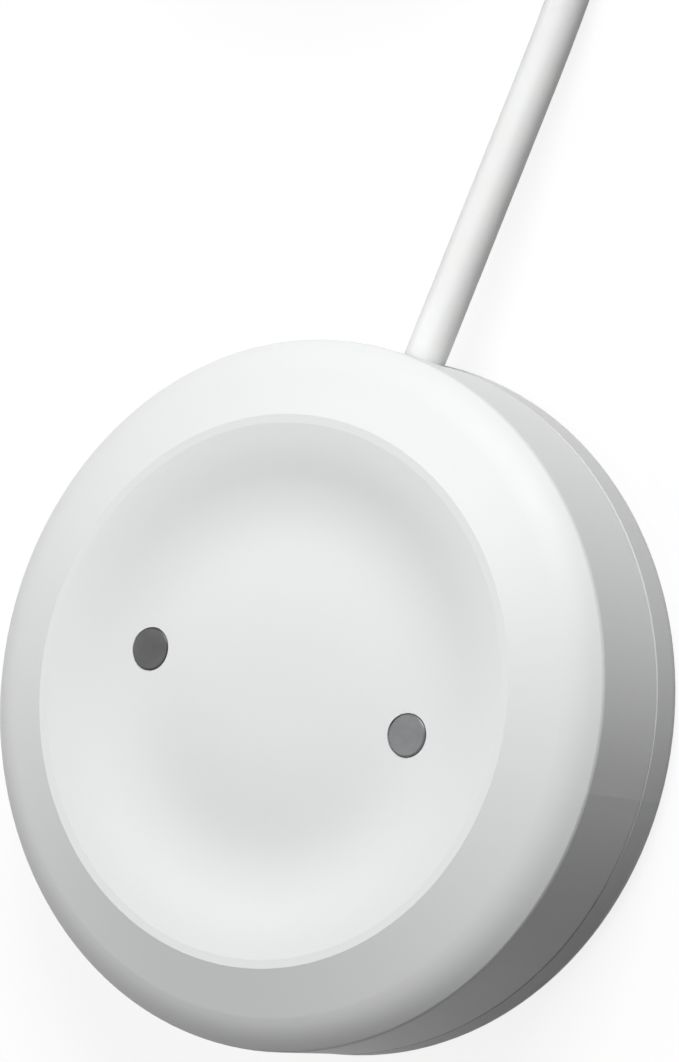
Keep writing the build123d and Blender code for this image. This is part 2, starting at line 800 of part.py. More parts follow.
with BuildPart() as plug_insulator:
    with BuildSketch(Plane(origin=plug_place, z_dir=plug_plane.x_dir).offset(sleeve_end)):
        Circle(barrel_radius)
    extrude(amount=insulator_length)
save(plug_insulator.part, "plug_insulator")

with BuildPart() as plug_tip:
    with BuildSketch(plug_plane):
        with BuildLine():
            neck = tip_start + tip_length * tip_neck_share
            bulge = tip_start + tip_length * tip_bulge_share
            Polyline(
                (tip_start, 0),
                (tip_start, barrel_radius),
                (neck, tip_neck_radius),
                (bulge, tip_bulge_radius),
                (tip_end, tip_end_radius),
                (tip_end, 0),
                close=True,
            )
        make_face()
    revolve(axis=plug_axis)
save(plug_tip.part, "plug_tip")
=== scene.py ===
import math

import bpy
import numpy as np
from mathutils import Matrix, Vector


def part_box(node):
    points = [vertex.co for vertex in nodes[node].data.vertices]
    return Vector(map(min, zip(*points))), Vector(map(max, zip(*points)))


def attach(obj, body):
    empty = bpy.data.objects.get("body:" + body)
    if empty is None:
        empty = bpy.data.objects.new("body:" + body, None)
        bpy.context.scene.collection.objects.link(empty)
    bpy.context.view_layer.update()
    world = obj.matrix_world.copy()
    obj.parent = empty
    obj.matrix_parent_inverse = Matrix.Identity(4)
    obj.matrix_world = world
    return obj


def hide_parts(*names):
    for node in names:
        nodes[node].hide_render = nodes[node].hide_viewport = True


# Wired water leak sensor: a white puck with two metal contacts in a shallow dish, and its cord with a
# small two-pole plug. In metres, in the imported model's frame: +Z out of the sensing face, +Y along the
# cord's exit.
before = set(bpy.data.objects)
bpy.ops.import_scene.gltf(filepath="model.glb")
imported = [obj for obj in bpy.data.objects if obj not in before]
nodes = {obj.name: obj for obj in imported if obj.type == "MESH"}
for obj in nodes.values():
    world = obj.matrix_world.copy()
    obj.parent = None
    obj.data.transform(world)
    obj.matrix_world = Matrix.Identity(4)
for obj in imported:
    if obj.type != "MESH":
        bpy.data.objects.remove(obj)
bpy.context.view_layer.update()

# Sensing housing. The real cap is one injection moulding in white ABS. Its tool is spark eroded to a
# very fine satin grain, and the gate side cools a little denser, so tone and gloss drift slightly. The
# piece is a copy of the solid, with a softer, deeper ring in its dish and a thinner gap round each pin.


class Signal:
    """One socket in a material. Sums, products and comparisons of signals add their Math nodes,
    and node() adds any other node and returns one of its outputs."""

    def __init__(self, tree, socket):
        self.tree, self.socket = tree, socket

    def node(self, kind, settings=None, values=None, output=0):
        """A new node of that kind: its settings first, with a ramp's stops as pairs of place and tone,
        then the values of its sockets, or the signals that feed them."""
        made = self.tree.nodes.new(kind)
        for name, value in (settings or {}).items():
            if name == "stops":
                ramp = made.color_ramp.elements
                while len(ramp) < len(value):
                    ramp.new(0.5)
                for element, (place, tone) in zip(ramp, value):
                    element.position = place
                    element.color = (*tone, 1) if isinstance(tone, tuple) else (tone, tone, tone, 1)
            else:
                setattr(made, name, value)
        for name, value in (values or {}).items():
            if isinstance(value, Signal):
                self.tree.links.new(value.socket, made.inputs[name])
            else:
                made.inputs[name].default_value = value
        return Signal(self.tree, made.outputs[output])

    def maths(self, operation, first, second=0.0):
        return self.node("ShaderNodeMath", {"operation": operation}, {0: first, 1: second})

    def __add__(self, other):
        return self.maths("ADD", self, other)

    def __sub__(self, other):
        return self.maths("SUBTRACT", self, other)

    def __rsub__(self, other):
        return self.maths("SUBTRACT", other, self)

    def __mul__(self, other):
        return self.maths("MULTIPLY", self, other)

    def __gt__(self, other):
        return self.maths("GREATER_THAN", self, other)

    def __lt__(self, other):
        return self.maths("LESS_THAN", self, other)

    __radd__, __rmul__ = __add__, __mul__

    def noise(self, per_metre, detail=2.0, roughness=0.5):
        """Cloudy values from 0 to 1 at this place, with that many lumps in a metre."""
        values = {"Vector": self, "Scale": per_metre, "Detail": detail, "Roughness": roughness}
        return self.node("ShaderNodeTexNoise", None, values)

    def part(self, axis):
        """The X, Y or Z of a vector."""
        return self.node("ShaderNodeSeparateXYZ", None, {0: self}, output="XYZ".index(axis))

    def between(self, dark, light):
        """A colour from dark to light as this value goes from 0 to 1. Either may be a signal."""
        dark, light = (end if isinstance(end, Signal) else (*end, 1) for end in (dark, light))
        values = {"Factor": self, "A": dark, "B": light}
        return self.node("ShaderNodeMix", {"data_type": "RGBA"}, values, output=2)

    def bump(self, depth, strength):
        """The normal of a surface raised by depth metres where this value is 1."""
        values = {"Strength": strength, "Distance": depth, "Height": self}
        return self.node("ShaderNodeBump", None, values)


def material(name):
    """An empty material of that name: the signal of its Object coordinates, and its surface node."""
    made = bpy.data.materials.new(name)
    made.use_nodes = True
    tree = made.node_tree
    place = tree.nodes.new("ShaderNodeTexCoord").outputs["Object"]
    return made, Signal(tree, place), tree.nodes["Principled BSDF"]


def set_surface(surface, **values):
    """Sets or links the sockets of a surface node. An underscore in a name stands for a space."""
    for name, value in values.items():
        socket = surface.inputs[name.replace("_", " ")]
        if isinstance(value, Signal):
            value.tree.links.new(value.socket, socket)
        else:
            socket.default_value = value


def dress(finish, *names):
    """Gives a finish to CAD nodes."""
    for name in names:
        nodes[name].data.materials.clear()
        nodes[name].data.materials.append(finish)


def moulded(name, dark, light, gloss, grain):
    """Moulded plastic: a slow drift of tone, an eroded grain of that many pits in a metre, and a
    roughness that wanders about gloss."""
    pit_depth = 0.000014
    made, place, surface = material(name)
    drift = place.noise(55.0, detail=3.0)
    pits = place.noise(grain, detail=2.0, roughness=0.6)
    set_surface(
        surface,
        Base_Color=(drift * 0.8 + pits * 0.2).between(dark, light),
        Roughness=gloss + (place.noise(900.0) - 0.5) * 0.1 + (pits - 0.5) * 0.06,
        Normal=(pits + place.noise(grain / 6, detail=1.0) * 0.6).bump(pit_depth, 0.3),
        IOR=1.5,
    )
    return made


def dish_relief(radius):
    """How far the finished dish stands off the solid's: its dome a little higher, and a soft ring
    round the dome a little lower. From the dome to the ring it falls by half of one less the cosine of
    half a turn times the squared share of the way. From there to the rim it is the sine of a quarter
    turn times the share that is left."""
    ring, rim, dome_rise, ring_fall = 0.0118, 0.01875, 0.0003, 0.00025
    share = np.minimum(radius / ring, 1)
    left = np.clip((rim - radius) / (rim - ring), 0, 1)
    inner = dome_rise - (dome_rise + ring_fall) * (0.5 - 0.5 * np.cos(math.pi * share**2))
    outer = -ring_fall * np.sin(left * math.pi / 2)
    return np.where(share < 1, inner, outer)


def merged(stands_for):
    """The points, faces and corner normals of a CAD node: its loose triangles are joined where their
    points agree to a hundredth of a micrometre, and those that are only a line are left out."""
    source = nodes[stands_for].data
    points = np.empty(len(source.vertices) * 3)
    source.vertices.foreach_get("co", points)
    corners = np.empty(len(source.loops), dtype=int)
    source.loops.foreach_get("vertex_index", corners)
    normals = np.empty(len(corners) * 3)
    source.corner_normals.foreach_get("vector", normals)
    points, joined = np.unique(points.reshape(-1, 3).round(8), axis=0, return_inverse=True)
    faces = joined.ravel()[corners].reshape(-1, 3)
    whole = (faces != np.roll(faces, 1, axis=1)).all(axis=1)
    return points, faces[whole], normals.reshape(-1, 3, 3)[whole]


def tip_normals(points, faces, normals, shift, above):
    """Tips the normals of the upper faces by the slope that shift(radius) adds: its change over two
    small steps, read a little inside each face's corner, so that a crease keeps its two sides."""
    inward, step, faces_up = 0.01, 1e-6, 0.3
    middles = points[faces].mean(axis=1, keepdims=True)
    nudged = points[faces] * (1 - inward) + middles * inward
    radius = np.hypot(nudged[..., 0], nudged[..., 1])
    slope = (shift(radius + step) - shift(radius - step)) / (2 * step)
    tipped = (points[faces][..., 2] > above) & (normals[..., 2] > faces_up)
    outward = nudged[..., :2] / radius[..., None]
    normals[..., :2] -= (tipped * normals[..., 2] * slope)[..., None] * outward
    normals /= np.linalg.norm(normals, axis=2, keepdims=True)


contact_place = 0.011175
contact_hole = 0.00163
contact_foot = 0.0108


def reworked(name, stands_for, finish, shift, above, fit=1.0):
    """A merged copy of a CAD node, in which each point higher than above is moved up by
    shift(radius). Points of the hole round a contact, or of the contact's plain end, keep the share
    fit of their distance from its axis."""
    points, faces, normals = merged(stands_for)
    tip_normals(points, faces, normals, shift, above)
    off_axis = np.abs(points[:, 0]) - contact_place
    end = (np.hypot(off_axis, points[:, 1]) < contact_hole) & (points[:, 2] > contact_foot)
    high = points[:, 2] > above
    points[high, 2] += shift(np.hypot(points[high, 0], points[high, 1]))
    points[end, 0] += (np.sign(points[:, 0]) * off_axis * (fit - 1))[end]
    points[end, 1] *= fit
    mesh = bpy.data.meshes.new(name)
    mesh.from_pydata(points.tolist(), [], faces.tolist())
    mesh.shade_smooth()
    mesh.normals_split_custom_set(normals.reshape(-1, 3).tolist())
    mesh.materials.append(finish)
    piece = bpy.data.objects.new(name, mesh)
    bpy.context.collection.objects.link(piece)
    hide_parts(stands_for)
    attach(piece, "root")


under_dish = 0.0135
hole_fit = 0.955
white_plastic = moulded("white plastic", (0.862, 0.868, 0.871), (0.884, 0.89, 0.893), 0.52, 7000.0)
reworked(
    "housing", "sensing_housing", white_plastic, dish_relief, under_dish, hole_fit
)

# Sensing contacts. Each is a turned stainless pin, faced off on the lathe and then blasted with fine
# beads, so that its flat end is a dull grey with the last turning marks just showing through. The end
# follows the dish down.


def blasted_steel(name, centre, dark, light):
    """Grey steel with faint rings about an upright axis at centre: noise read along the distance from
    that axis, laid over the fine dimples of the blasting."""
    made, place, surface = material(name)
    to_axis = {"Vector": place, "Location": (-centre, 0, 0)}
    local = place.node("ShaderNodeMapping", {"vector_type": "POINT"}, to_axis)
    across = local.part("X")
    along = local.part("Y")
    radius = place.maths("SQRT", across * across + along * along)
    rings = place.node("ShaderNodeTexNoise", {"noise_dimensions": "1D"}, {"W": radius, "Scale": 9000.0})
    dimples = place.noise(14000.0, detail=2.0)
    tone = rings * 0.3 + dimples * 0.2 + (place.noise(700.0, detail=3.0) - 0.5) * 1.1 + 0.25
    set_surface(
        surface,
        Base_Color=tone.between(dark, light),
        Metallic=0.85,
        Roughness=0.44 + (dimples - 0.5) * 0.12,
        Normal=(rings * 0.6 + dimples).bump(0.000004, 0.3),
    )
    return made


contact_drop = 0.00014
end_depth = 0.0003
contact_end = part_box("contact_left")[1].z - end_depth


def contact_shift(radius):
    """The same for the whole end: down with the dish."""
    return np.full_like(radius, -contact_drop)


# Both ends are the same steel; the left gets about half the right's grey, which is painted shade.
for side, centre, dark, light in (
    ("left", -contact_place, (0.054, 0.054, 0.056), (0.09, 0.09, 0.092)),
    ("right", contact_place, (0.108, 0.109, 0.112), (0.172, 0.174, 0.177)),
):
    steel = blasted_steel(f"contact steel {side}", centre, dark, light)
    reworked(f"{side}_contact", f"contact_{side}", steel, contact_shift, contact_end)

# Seals. Two moulded silicone rings keep water out round the pins, a flat gasket seals the joint of the
# cover, and a ribbed bush seals the cord in its port. All are matt black with a bloom of talc.


def rubber(name, dark, bloom):
    """Matt rubber: near black, with soft pale patches where talc has stayed."""
    made, place, surface = material(name)
    talc = place.noise(700.0, detail=4.0, roughness=0.65)
    patch = place.node("ShaderNodeValToRGB", {"stops": [(0.45, 0.0), (0.8, 1.0)]}, {0: talc})
    set_surface(
        surface,
        Base_Color=patch.between(dark, bloom),
        Roughness=0.68 + (talc - 0.5) * 0.2,
        Normal=place.noise(5000.0).bump(0.00001, 0.3),
    )
    return made


seal_rubber = rubber("seal rubber", (0.045, 0.045, 0.048), (0.11, 0.11, 0.112))
dress(seal_rubber, "contact_seal_left", "contact_seal_right", "cover_seal", "cord_bush")

# Circuit board. Glass laminate with a green solder mask over copper: the tracks stand a little proud and
# show paler through the mask, and the cut edge is the bare yellow laminate.
made, place, surface = material("board laminate")
cells = place.node(
    "ShaderNodeTexVoronoi", {"distance": "MANHATTAN", "feature": "F1"}, {"Vector": place, "Scale": 420.0}
)
tracks = cells > 0.42
weave = place.node(
    "ShaderNodeTexWave", {"bands_direction": "DIAGONAL"}, {"Vector": place, "Scale": 600.0}
)
facing = place.node("ShaderNodeNewGeometry", output="Normal").part("Z")
flat = place.maths("ABSOLUTE", facing) > 0.5
mask_colour = (tracks * 0.8 + weave * 0.2).between((0.012, 0.105, 0.045), (0.03, 0.2, 0.085))
edge_colour = weave.between((0.34, 0.29, 0.12), (0.46, 0.4, 0.2))
set_surface(
    surface,
    Base_Color=flat.between(edge_colour, mask_colour),
    Roughness=0.55 - flat * 0.27,
    Normal=(tracks + weave * 0.2).bump(0.00003, 0.4),
    IOR=1.5,
)
dress(made, "circuit_board")

# Contact nuts and header pins. The nuts are turned from brass bar and left plain, slightly tarnished;
# the header's square pins are brass wire with a bright tin flash.


def drawn_metal(name, dark, light, gloss, per_metre):
    """Metal with fine lines along Y, as drawing or turning leaves them: noise stretched in Y."""
    made, place, surface = material(name)
    stretched = place.node("ShaderNodeMapping", None, {"Vector": place, "Scale": (1.0, 0.06, 1.0)})
    lines = stretched.noise(per_metre, detail=3.0)
    stain = place.noise(350.0, detail=4.0)
    set_surface(
        surface,
        Base_Color=(lines * 0.4 + stain * 0.6).between(dark, light),
        Metallic=1.0,
        Roughness=gloss + (stain - 0.5) * 0.16,
        Normal=lines.bump(0.000004, 0.25),
    )
    return made


dress(drawn_metal("nut brass", (0.5, 0.37, 0.15), (0.72, 0.58, 0.3), 0.32, 6000.0), "contact_nuts")
dress(drawn_metal("tinned brass", (0.6, 0.6, 0.58), (0.8, 0.8, 0.78), 0.24, 9000.0), "header_pins")

# Screws and spring washers. Cold-headed steel, barrel plated with bright zinc: a cool silver, faintly
# clouded by the passivation, with small dints from the barrel.


def zinc_plate(name):
    """Zinc plating: a silver metal whose tone and roughness cloud together, with small pressed dints."""
    made, place, surface = material(name)
    cloud = place.noise(800.0, detail=4.0, roughness=0.6)
    dints = place.node("ShaderNodeTexVoronoi", None, {"Vector": place, "Scale": 3500.0})
    set_surface(
        surface,
        Base_Color=cloud.between((0.5, 0.51, 0.53), (0.72, 0.73, 0.74)),
        Metallic=1.0,
        Roughness=0.26 + cloud * 0.16,
        Normal=(dints * 0.5 + cloud * 0.5).bump(0.000006, 0.3),
    )
    return made


zinc = zinc_plate("screw steel")
dress(zinc, "contact_washers", "board_screws", "clamp_screws", "cover_screws")

# Line resistor. A dipped body in buff lacquer with four painted bands, on tinned copper leads that are
# bent down through the board.
resistor_radius = 0.0011
past_the_leads = 0.0006
band_half_width = 0.00025
made, place, surface = material("resistor coat")
resistor_low, resistor_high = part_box("line_resistor")
resistor_axis_x = (resistor_low.x + resistor_high.x) / 2
resistor_middle_y = (resistor_low.y + resistor_high.y) / 2
resistor_axis_z = resistor_high.z - resistor_radius
along = place.part("Y") - resistor_middle_y
across = place.part("X") - resistor_axis_x
above = place.part("Z") - resistor_axis_z
body = place.maths("SQRT", across * across + above * above) > past_the_leads
band_colours = [
    (-0.0021, (0.35, 0.12, 0.03)),
    (-0.0010, (0.02, 0.02, 0.02)),
    (0.0000, (0.6, 0.25, 0.03)),
    (0.0020, (0.55, 0.4, 0.12)),
]
coat = place.noise(900.0).between((0.66, 0.53, 0.34), (0.74, 0.61, 0.41))
for centre, colour in band_colours:
    inside = place.maths("ABSOLUTE", along - centre) < band_half_width
    coat = inside.between(coat, colour)
lead_tone = place.noise(4000.0).between((0.66, 0.66, 0.64), (0.78, 0.78, 0.76))
set_surface(
    surface,
    Base_Color=body.between(lead_tone, coat),
    Metallic=1.0 - body,
    Roughness=0.24 + body * 0.1,
    Normal=place.noise(2500.0).bump(0.00002, 0.3),
)
dress(made, "line_resistor")

# Surge suppressor. A transfer-moulded block of black epoxy, with the matt skin and tiny pits of filled
# resin. The plug's insulating ring is the same kind of resin.
black_epoxy = moulded("black epoxy", (0.028, 0.028, 0.03), (0.05, 0.05, 0.052), 0.52, 9000.0)
dress(black_epoxy, "surge_suppressor", "plug_insulator")

# Filter capacitors. Layered ceramic chips, fired as one: a warm brown body between two end caps, which
# are dipped in silver and tinned so that they solder to the board.
cap_start = 0.00065
made, place, surface = material("chip ceramic")
chip_low, chip_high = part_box("filter_capacitors")
ends = place.maths("ABSOLUTE", place.part("Y") - (chip_low.y + chip_high.y) / 2) > cap_start
fired = place.noise(3000.0, detail=3.0).between((0.44, 0.32, 0.22), (0.56, 0.43, 0.31))
cap_tone = place.noise(5000.0).between((0.62, 0.62, 0.6), (0.76, 0.76, 0.74))
set_surface(
    surface,
    Base_Color=ends.between(fired, cap_tone),
    Metallic=ends,
    Roughness=0.5 - ends * 0.18,
    Normal=place.noise(8000.0).bump(0.000008, 0.3),
)
dress(made, "filter_capacitors")

# Wire connector and cord clamp. Small mouldings in natural nylon, slightly yellow and waxy. The header
# is soldered to the board, the plug is crimped on the wires, and the clamp is screwed over the cord.
natural_nylon = moulded("natural nylon", (0.78, 0.75, 0.65), (0.86, 0.84, 0.75), 0.38, 5000.0)
dress(natural_nylon, "wire_header", "wire_plug", "cord_clamp")

# Conductors. Stranded copper in thin extruded insulation, red and black, with the faint lengthwise
# streaks of the die.


def extruded(name, dark, light, gloss):
    """Extruded plastic: streaks along Y, made of noise that is stretched in Y, over a slow drift."""
    made, place, surface = material(name)
    stretched = place.node("ShaderNodeMapping", None, {"Vector": place, "Scale": (1.0, 0.1, 1.0)})
    streaks = stretched.noise(4000.0)
    set_surface(
        surface,
        Base_Color=(streaks * 0.5 + place.noise(200.0) * 0.5).between(dark, light),
        Roughness=gloss + (streaks - 0.5) * 0.1,
        Normal=streaks.bump(0.00001, 0.25),
        IOR=1.5,
    )
    return made


dress(extruded("red insulation", (0.5, 0.02, 0.015), (0.66, 0.05, 0.04), 0.33), "wire_red")
dress(extruded("black insulation", (0.02, 0.02, 0.02), (0.04, 0.04, 0.042), 0.33), "wire_black")

# Back cover. A second moulding in the same white ABS, with a coarser satin on the flat that lies on the
# floor, held by three screws in recesses. Its colour is set at about four fifths of the cap's, darker
# all
# over: painted shade on its band and its seam, since the ABS is the same.
back_plastic_painted_shade = moulded("white plastic back", (0.72, 0.725, 0.727), (0.75, 0.755, 0.757), 0.52, 5200.0)
dress(back_plastic_painted_shade, "back_cover")

# Cord. Two stranded conductors in a round jacket of soft white PVC, 3 mm across. It leaves its port in a
# straight line down to the floor, is put away in a coil of nine turns, and comes back to its plug.
cord_jacket, place, surface = material("cord jacket")
skin = place.noise(2600.0, detail=2.0)
jacket_tone = place.noise(90.0) * 0.6 + skin * 0.4
set_surface(
    surface,
    Base_Color=jacket_tone.between((0.875, 0.879, 0.875), (0.905, 0.909, 0.905)),
    Roughness=0.4 + (skin - 0.5) * 0.12,
    Normal=(skin + place.noise(500.0) * 0.8).bump(0.00002, 0.3),
    IOR=1.52,
    Subsurface_Weight=1.0,
    Subsurface_Radius=(1.0, 0.95, 0.9),
    Subsurface_Scale=0.0012,
)
dress(cord_jacket, "cord_inner")

cord_radius = 0.0015
cord_exit = (0.0, 0.0236907, 0.00714355)
run_route = [(0.0, 0.03876, 0.00419), (0.0, 0.0525, 0.0015), (0.0006, 0.0665, 0.0015)]
coil_centre = np.array([-0.01985, 0.08077, cord_radius])
coil_turn = math.radians(-6.0)
coil_inner_radius = 0.0132
coil_pitch = 0.00345
coil_first_ring = 5
coil_outer_ring = 4
lead_route = [
    (-0.00007, 0.09317, 0.01185),
    (0.00115, 0.10474, 0.0075),
    (0.00565, 0.11018, 0.0047),
    (0.01241, 0.11222, 0.0026),
    (0.01918, 0.11018, 0.0024),
    (0.02368, 0.10474, 0.0042),
]
plug_place = (0.02441, 0.09778, 0.0042)
tie_lift = 0.0006
coil_across = np.array([math.cos(coil_turn), math.sin(coil_turn), 0])
coil_along = np.array([-math.sin(coil_turn), math.cos(coil_turn), 0])


def coil_points(steps=8):
    """Points round which the coil's spline is drawn. Each half turn is a half circle of its ring's
    radius, and its points stand where the tangents of equal steps meet. Half turns join on the line
    across the coil, so the centre moves by the change of radius each time. A half turn that climbs to
    the next layer rises by a smooth step: twice the square of its share, mirrored past the middle. A
    half turn that the tie goes round is lifted off the floor there, by the squared cosine of twice the
    angle from the tie."""
    radii = [coil_inner_radius + ring * coil_pitch / 2 for ring in range(coil_first_ring + 1)]
    turns = [(ring, 0) for ring in range(coil_first_ring, 0, -1)] + [(0, 1)]
    turns += [(ring, 0) for ring in range(1, coil_outer_ring)] + [(coil_outer_ring, 1)]
    turns += [(ring, 0) for ring in range(coil_outer_ring - 1, 0, -1)] + [(0, 1)]
    turns += [(ring, 0) for ring in range(1, coil_outer_ring + 1)]
    tail = 2 * cord_radius
    start = coil_centre + coil_across * radii[coil_first_ring]
    points = [start - coil_along * tail]
    heading = 1
    share = (np.arange(steps) + 0.5) / steps
    for ring, climbs in turns:
        centre = start - coil_across * heading * radii[ring]
        reach = radii[ring] / math.cos(math.pi / steps / 2)
        swing = math.pi * share
        rise = np.where(share < 0.5, 2 * share**2, 1 - 2 * (1 - share) ** 2) * coil_pitch * climbs
        corners = centre + heading * reach * (
            np.outer(np.cos(swing), coil_across) + np.outer(np.sin(swing), coil_along)
        )
        from_tie = np.clip(np.abs(swing - math.pi / 2), 0, math.pi / 4)
        corners[:, 2] += rise + tie_lift * np.cos(2 * from_tie) ** 2 * (heading > 0)
        points += list(corners)
        start = centre - coil_across * heading * radii[ring] + np.array([0, 0, coil_pitch * climbs])
        heading = -heading
    points.append(start + coil_along * heading * tail)
    return points


cord_line = bpy.data.curves.new("cord", "CURVE")
cord_line.dimensions = "3D"
cord_line.bevel_depth = cord_radius
cord_line.bevel_resolution = 7
cord_line.resolution_u = 10
cord_line.use_fill_caps = True
spline = cord_line.splines.new("NURBS")
route = np.array([cord_exit, *run_route, *coil_points(), *lead_route, plug_place])
spline.points.add(len(route) - 1)
spline.points.foreach_set("co", np.column_stack([route, np.ones(len(route))]).ravel())
spline.order_u = 3
spline.use_endpoint_u = True
cord_line.materials.append(cord_jacket)
cord = bpy.data.objects.new("cord", cord_line)
bpy.context.collection.objects.link(cord)
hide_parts("cord_run", "cord_coil", "cord_lead")
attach(cord, "root")

# Tie. The coil is held by a twist tie: a flat strip of the same soft plastic, extruded over a steel wire
# that makes a rib along its middle. It goes once round the turns, and its ends are twisted together.
tie_half_width = 0.0016
tie_thickness = 0.00045
film_half_thickness = 0.00005
rib_share = 0.24
tie_clearance = 0.00003


def strip(path, side, outward, closed=False):
    """A flat strip with a rib along its middle, carried along a path. Across the strip, from -1 to 1,
    the surface stands a thin film off the path plus a bell curve for the wire, on both faces."""
    share = np.linspace(-1, 1, 13)
    rib_height = tie_thickness / 2 - film_half_thickness
    half_thick = film_half_thickness + rib_height * np.exp(-((share / rib_share) ** 2))
    aside = np.concatenate([share, share[::-1]]) * tie_half_width
    proud = np.concatenate([half_thick, -half_thick[::-1]])
    corners = path[:, None] + aside[:, None] * side[:, None] + proud[:, None] * outward[:, None]
    rows, ring = corners.shape[:2]
    row, place = np.meshgrid(np.arange(rows if closed else rows - 1), np.arange(ring), indexing="ij")
    after, here, there = (place + 1) % ring, row * ring, (row + 1) % rows * ring
    quads = np.stack([here + place, here + after, there + after, there + place], 2)
    faces = quads.reshape(-1, 4).tolist()
    if not closed:
        faces += [list(range(ring))[::-1], [(rows - 1) * ring + k for k in range(ring)]]
    return corners.reshape(-1, 3), faces


def loop_round(corners, reach, steps=10):
    """A closed path that stays reach away from a convex outline: an arc round each corner, from the
    normal of the side before it to the normal of the side after. Also the outward normals."""
    corners = np.array(corners)
    sides = np.roll(corners, -1, axis=0) - corners
    leaving = np.arctan2(-sides[:, 0], sides[:, 1])
    arriving = np.roll(leaving, 1)
    swing = np.mod(leaving - arriving, 2 * math.pi)
    angle = arriving[:, None] + swing[:, None] * np.linspace(0, 1, steps)
    normals = np.stack([np.cos(angle), np.sin(angle)], axis=2)
    return (corners[:, None] + reach * normals).reshape(-1, 2), normals.reshape(-1, 2)


def twisted_ends(start, length=0.0105, sag=0.0016, turns=2.5, steps=61):
    """The path, side and outward arrays of each of the tie's two ends. Both follow a line that runs
    from start towards the middle of the coil and sags by the square of its share. Each stands off it
    by a little more than half its thickness, turned by equal steps. In the last fifth they part, by
    the square of the share since then."""
    share = np.linspace(0, 1, steps)[:, None]
    line = start - share * length * coil_along - share**2 * np.array([0, 0, sag])
    run = -coil_along - share * np.array([0, 0, 2 * sag / length])
    run /= np.linalg.norm(run, axis=1, keepdims=True)
    flat = np.broadcast_to(-coil_across, run.shape)
    upright = np.cross(run, flat)
    apart = tie_thickness * 0.6 + np.clip(share - 0.8, 0, 1) ** 2 * 0.02
    for phase in (0, math.pi):
        turned = phase + 2 * math.pi * turns * share
        side = np.cos(turned) * flat + np.sin(turned) * upright
        outward = np.cross(side, run)
        yield line + apart * outward, side, outward


# Under the tie the bottom layer has the turns of rings 1, 3 and 5, and the three layers above it have
# those of rings 1 and 3. All are lifted there as coil_points lifts its two points beside the tie.
inner, outer, middle = coil_inner_radius + np.array([1, 5, 3]) * coil_pitch / 2
top_layer = 3 * coil_pitch
bundle = [(inner, 0), (outer, 0), (middle, top_layer), (inner, top_layer)]
tie_reach = cord_radius + tie_thickness / 2 + tie_clearance
beside_tie = math.pi / 16
tie_raised = coil_centre + np.array([0, 0, tie_lift * math.cos(2 * beside_tie) ** 2])
flat_path, flat_normal = loop_round(bundle, tie_reach)
up = np.array([0, 0, 1.0])
upright_plane = np.stack([coil_along, up])
hoop_path = tie_raised + flat_path @ upright_plane
hoop_side = np.broadcast_to(-coil_across, hoop_path.shape)
knot = tie_raised + (inner - tie_reach) * coil_along + top_layer / 2 * up
tie_corners, tie_faces = strip(hoop_path, hoop_side, flat_normal @ upright_plane, closed=True)
for end in twisted_ends(knot):
    corners, faces = strip(*end)
    tie_faces += [[corner + len(tie_corners) for corner in face] for face in faces]
    tie_corners = np.vstack([tie_corners, corners])
tie_mesh = bpy.data.meshes.new("tie")
tie_mesh.from_pydata(tie_corners.tolist(), [], tie_faces)
tie_mesh.shade_smooth()
tie_mesh.set_sharp_from_angle(angle=math.radians(50))
tie_mesh.materials.append(extruded("tie film", (0.79, 0.8, 0.79), (0.85, 0.86, 0.85), 0.34))
tie = bpy.data.objects.new("tie", tie_mesh)
bpy.context.collection.objects.link(tie)
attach(tie, "root")

# Plug. A two-pole plug with its bend relief and grip moulded on in soft white PVC. The relief is ringed
# with grooves so that it bends evenly, and the grip has rounded bands for the fingers.
plug_turn = math.radians(6.0)
plug_forward = np.array([math.sin(plug_turn), -math.cos(plug_turn), 0])
plug_side = np.array([math.cos(plug_turn), math.sin(plug_turn), 0])


def lathe(name, profile, finish, stands_for, sides=64):
    """A surface turned about the plug's axis: each (distance, radius) of the profile becomes a circle
    of that radius at that distance from plug_place, closed at both ends."""
    distance, radius = np.array(profile).T
    angle = np.linspace(0, 2 * math.pi, sides, endpoint=False)
    spokes = np.outer(np.cos(angle), plug_side) + np.outer(np.sin(angle), [0, 0, 1])
    middles = np.array(plug_place) + np.outer(distance, plug_forward)
    rows = len(distance)
    corners = (middles[:, None] + radius[:, None, None] * spokes).reshape(-1, 3)
    ends = middles[[0, -1]]
    row, side = np.meshgrid(np.arange(rows - 1), np.arange(sides), indexing="ij")
    after = (side + 1) % sides
    here, there = row * sides, (row + 1) * sides
    quads = np.stack([here + side, here + after, there + after, there + side], 2)
    last_row = (rows - 1) * sides
    faces = quads.reshape(-1, 4).tolist()
    faces += [[rows * sides, (k + 1) % sides, k] for k in range(sides)]
    faces += [[rows * sides + 1, last_row + k, last_row + (k + 1) % sides] for k in range(sides)]
    mesh = bpy.data.meshes.new(name)
    mesh.from_pydata(np.vstack([corners, ends]).tolist(), [], faces)
    mesh.shade_smooth()
    mesh.set_sharp_from_angle(angle=math.radians(40))
    mesh.materials.append(finish)
    piece = bpy.data.objects.new(name, mesh)
    bpy.context.collection.objects.link(piece)
    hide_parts(stands_for)
    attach(piece, "root")
    return piece


def soft_groove(distance, centre, width):
    """From 0 to 1 and back across a groove: half of one plus the cosine of the distance from its
    centre, as a share of half its width, in half turns."""
    share = np.clip(np.abs(distance - centre) / (width / 2), 0, 1)
    return 0.5 + 0.5 * np.cos(math.pi * share)


plug_moulding = moulded("plug moulding", (0.82, 0.825, 0.815), (0.865, 0.87, 0.86), 0.45, 4200.0)
relief_length = 0.010
relief_start_radius = 0.0020
relief_flare = 0.0009
first_groove, groove_pitch = 0.0029, 0.001875
groove_depth, groove_width = 0.0004, 0.0011
edge_break = 0.0002
relief_steps = np.linspace(0, relief_length, 121)
relief_radius = relief_start_radius + relief_flare * relief_steps / relief_length
for groove in range(4):
    centre = first_groove + groove * groove_pitch
    relief_radius -= groove_depth * soft_groove(relief_steps, centre, groove_width)
relief_radius[0] -= edge_break
relief_profile = list(zip(relief_steps, relief_radius))
relief = lathe("relief", relief_profile, plug_moulding, "plug_relief")

